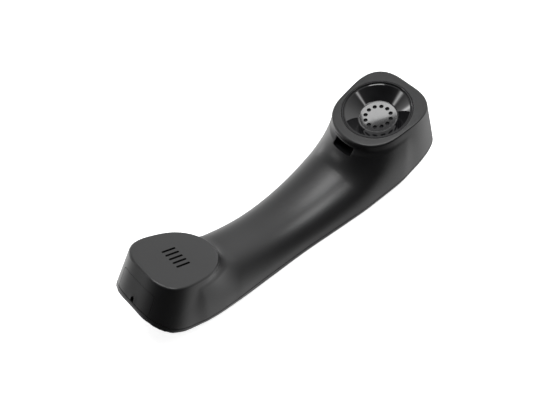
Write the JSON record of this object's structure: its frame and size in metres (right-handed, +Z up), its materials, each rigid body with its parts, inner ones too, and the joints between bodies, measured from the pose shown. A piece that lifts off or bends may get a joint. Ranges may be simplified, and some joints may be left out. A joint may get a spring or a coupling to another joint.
{
  "type": "telephone handset",
  "caption": "Telephone handset with a slim handle, a flat mouth pad, a glossy bowl under the ear pad, a cradle hook slot and a slotted end cover that pulls off the cord jack.",
  "frame": {"origin": "centre of the footprint, on the plane that the handset lies on, resting at its balance point", "axes": "+X towards the ear end, +Z up out of the pads, Y across the handle; the handset lies on its back"},
  "size_m": [0.2132, 0.0512, 0.0596],
  "materials": {
    "casing": "fine satin",
    "bowl": "polished",
    "inner_plastic": "satin",
    "cloth": "woven",
    "rubber": "matt",
    "membrane": "clear film",
    "copper": "enamelled winding",
    "steel": "plated",
    "magnet": "dull sintered",
    "board": "bare laminate",
    "contact": "bright",
    "capsule": "drawn",
    "wire_red": "smooth",
    "wire_black": "smooth",
    "wire_green": "smooth",
    "wire_yellow": "smooth"
  },
  "bodies": {
    "handset": {"front_shell": "casing", "back_shell": "casing", "receiver_cap": "bowl", "receiver_cloth": "cloth", "receiver_gasket": "rubber", "receiver_frame": "inner_plastic", "receiver_diaphragm": "membrane", "receiver_voice_coil": "copper", "receiver_top_plate": "steel", "receiver_magnet": "magnet", "receiver_yoke": "steel", "receiver_retainer": "steel", "retainer_screws": "steel", "receiver_tabs": "board", "microphone_cloth": "cloth", "microphone_boot": "rubber", "microphone_capsule": "capsule", "jack_housing": "inner_plastic", "jack_contacts": "contact", "jack_board": "board", "board_screws": "steel", "ballast_weight": "steel", "ballast_screws": "steel", "case_screws": "steel", "receiver_lead_red": "wire_red", "receiver_lead_black": "wire_black", "microphone_lead_green": "wire_green", "microphone_lead_yellow": "wire_yellow"},
    "cord_cover": {"end_cover": "casing"}
  },
  "joints": [
    {"name": "cover_slide", "type": "slide", "parent": "handset", "child": "cord_cover", "axis": [-0.8988, 0, 0.4384], "range_m": [0, 0.012]}
  ]
}
